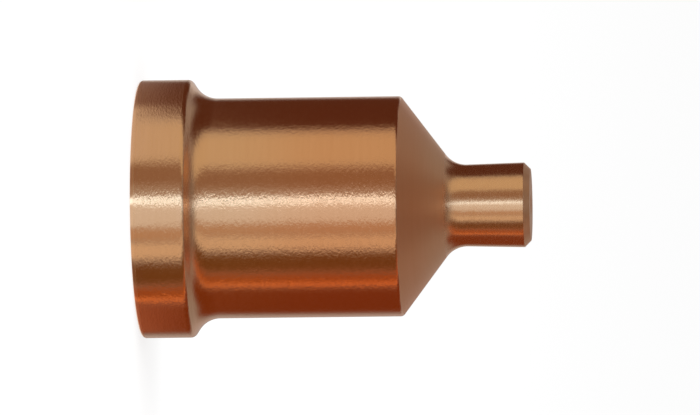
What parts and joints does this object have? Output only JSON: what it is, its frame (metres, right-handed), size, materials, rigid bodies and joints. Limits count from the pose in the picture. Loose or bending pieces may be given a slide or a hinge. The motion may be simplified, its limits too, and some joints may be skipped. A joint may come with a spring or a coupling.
{
  "type": "plasma torch nozzle",
  "caption": "Turned copper plasma torch nozzle: a flanged cylindrical body, a cone and a narrow flared nose, hollow from an open seat end down to a fine orifice.",
  "frame": {"origin": "centre of the seat face at the flange end, on the turning axis", "axes": "+Z along the turning axis, from the seat face towards the nose"},
  "size_m": [0.018, 0.018, 0.0272],
  "materials": {
    "copper": null
  },
  "bodies": {
    "root": {"nozzle": "copper"}
  },
  "joints": []
}
